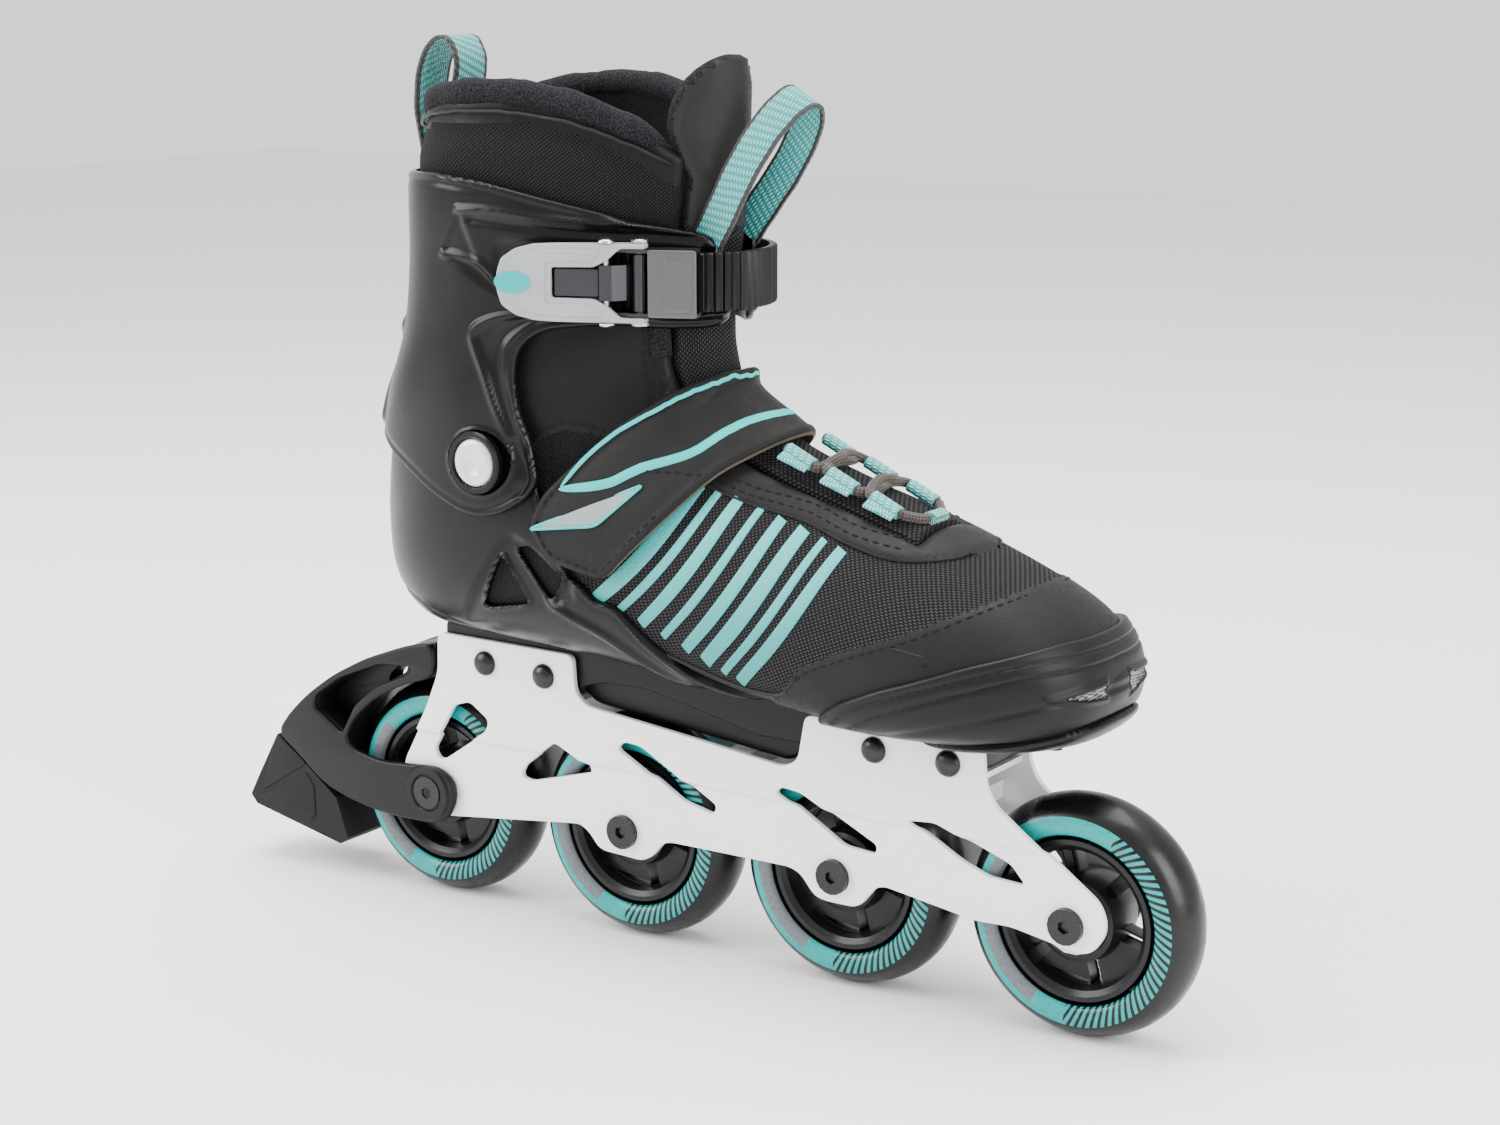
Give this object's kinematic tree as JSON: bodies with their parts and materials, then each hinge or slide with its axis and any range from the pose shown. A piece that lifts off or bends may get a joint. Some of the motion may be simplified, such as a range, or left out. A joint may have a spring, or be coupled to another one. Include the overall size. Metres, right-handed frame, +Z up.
{
  "type": "inline skate",
  "caption": "Right-foot soft-boot inline skate with an aluminium channel frame, hinged cuff, ratchet buckle, instep strap and heel brake.",
  "frame": {"origin": "on the ground under the middle of the skate's whole box, so the wheels stand on z = 0", "axes": "+X toward the toe along the wheels, +Y toward the inner side of the foot, +Z up"},
  "size_m": [0.4065, 0.1138, 0.3262],
  "materials": {
    "frame_white": "satin white powder coat on aluminium",
    "urethane": "glossy cast urethane with a printed teal and grey ring",
    "hub_plastic": "moulded nylon, lightly textured",
    "steel": "nickel plated, satin",
    "black_steel": "black oxide",
    "shell_black": "fine moulded texture, satin",
    "cuff_black": "satin with softly polished edges",
    "boot_fabric": "padded black mesh and smooth synthetic",
    "boot_leather": "matt synthetic leather, stitched edges",
    "insole_foam": "moulded foam with a knit cover",
    "silver_cap": "silver paint on moulded plastic",
    "buckle_grey": "satin light grey",
    "dark_metal": "satin dark grey enamel",
    "teal_plastic": "satin",
    "teal_webbing": "two-colour woven webbing with black edges",
    "strap_plastic": "ribbed moulded nylon",
    "lace_cord": "round braided cord",
    "brake_rubber": "matt moulded rubber"
  },
  "bodies": {
    "root": {"chassis": "frame_white", "axle_bolt_1": "black_steel", "axle_bolt_2": "black_steel", "axle_bolt_3": "black_steel", "axle_bolt_4": "black_steel", "frame_rivet_1": "black_steel", "frame_rivet_2": "black_steel", "frame_rivet_3": "black_steel", "frame_rivet_4": "black_steel", "base_shell": "shell_black", "toe_cap": "shell_black", "boot_upper": "boot_fabric", "tongue_foot": "boot_fabric", "insole": "insole_foam", "cuff_pivot_outer": "silver_cap", "cuff_pivot_inner": "silver_cap", "instep_strap_anchor": "boot_leather", "lace": "lace_cord", "brake_housing": "shell_black", "brake_pad": "brake_rubber", "brake_screw": "steel"},
    "wheel_1": {"tyre_1": "urethane", "hub_1": "hub_plastic", "bearing_outer_1": "steel", "bearing_inner_1": "steel", "bearing_spacer_1": "steel"},
    "wheel_2": {"tyre_2": "urethane", "hub_2": "hub_plastic", "bearing_outer_2": "steel", "bearing_inner_2": "steel", "bearing_spacer_2": "steel"},
    "wheel_3": {"tyre_3": "urethane", "hub_3": "hub_plastic", "bearing_outer_3": "steel", "bearing_inner_3": "steel", "bearing_spacer_3": "steel"},
    "wheel_4": {"tyre_4": "urethane", "hub_4": "hub_plastic", "bearing_outer_4": "steel", "bearing_inner_4": "steel", "bearing_spacer_4": "steel"},
    "cuff": {"cuff": "cuff_black", "boot_collar": "boot_fabric", "tongue_shin": "boot_leather", "ratchet_anchor": "strap_plastic", "ratchet_screw": "steel", "buckle_base": "dark_metal", "lever_pin": "steel", "pull_loop_rear": "teal_webbing", "pull_loop_front": "teal_webbing"},
    "buckle_lever": {"buckle_lever": "buckle_grey", "pawl_pin": "steel"},
    "lever_button": {"lever_button": "teal_plastic"},
    "drive_pawl": {"drive_pawl": "dark_metal"},
    "lock_pawl": {"lock_pawl": "dark_metal"},
    "ratchet_strap": {"ratchet_strap": "strap_plastic"},
    "instep_strap": {"instep_strap": "boot_leather"}
  },
  "joints": [
    {"name": "wheel_spin_1", "type": "hinge", "parent": "root", "child": "wheel_1", "pos_m": [-0.1103, 0, 0.042], "axis": [0, 1, 0], "continuous": true},
    {"name": "wheel_spin_2", "type": "hinge", "parent": "root", "child": "wheel_2", "pos_m": [-0.0198, 0, 0.042], "axis": [0, 1, 0], "continuous": true},
    {"name": "wheel_spin_3", "type": "hinge", "parent": "root", "child": "wheel_3", "pos_m": [0.0707, 0, 0.042], "axis": [0, 1, 0], "continuous": true},
    {"name": "wheel_spin_4", "type": "hinge", "parent": "root", "child": "wheel_4", "pos_m": [0.1612, 0, 0.042], "axis": [0, 1, 0], "continuous": true},
    {"name": "cuff_flex", "type": "hinge", "parent": "root", "child": "cuff", "pos_m": [-0.0583, 0, 0.18], "axis": [0, 1, 0], "range_deg": [0, 10]},
    {"name": "lever_swing", "type": "hinge", "parent": "cuff", "child": "buckle_lever", "pos_m": [0.0032, -0.0335, 0.246], "axis": [0, 0, 1], "range_deg": [0, 95]},
    {"name": "button_press", "type": "slide", "parent": "buckle_lever", "child": "lever_button", "axis": [-0.4067, 0.9135, 0], "range_m": [0, 0.001], "stiffness_N_per_m": 400},
    {"name": "drive_pawl_turn", "type": "hinge", "parent": "buckle_lever", "child": "drive_pawl", "pos_m": [-0.00567, -0.04062, 0.246], "axis": [0, 0, 1], "range_deg": [-6, 0], "stiffness_Nm_per_rad": 0.05},
    {"name": "lock_pawl_turn", "type": "hinge", "parent": "cuff", "child": "lock_pawl", "pos_m": [-0.01241, -0.04023, 0.246], "axis": [0, 0, 1], "range_deg": [-8, 0], "stiffness_Nm_per_rad": 0.05},
    {"name": "ratchet_strap_swing", "type": "hinge", "parent": "cuff", "child": "ratchet_strap", "pos_m": [-0.0373, 0.0508, 0.246], "axis": [0, 0, 1], "range_deg": [0, 90]},
    {"name": "instep_strap_open", "type": "hinge", "parent": "root", "child": "instep_strap", "pos_m": [0.0261, -0.022, 0.1938], "axis": [-0.8696, 0, 0.4938], "range_deg": [0, 90]}
  ]
}
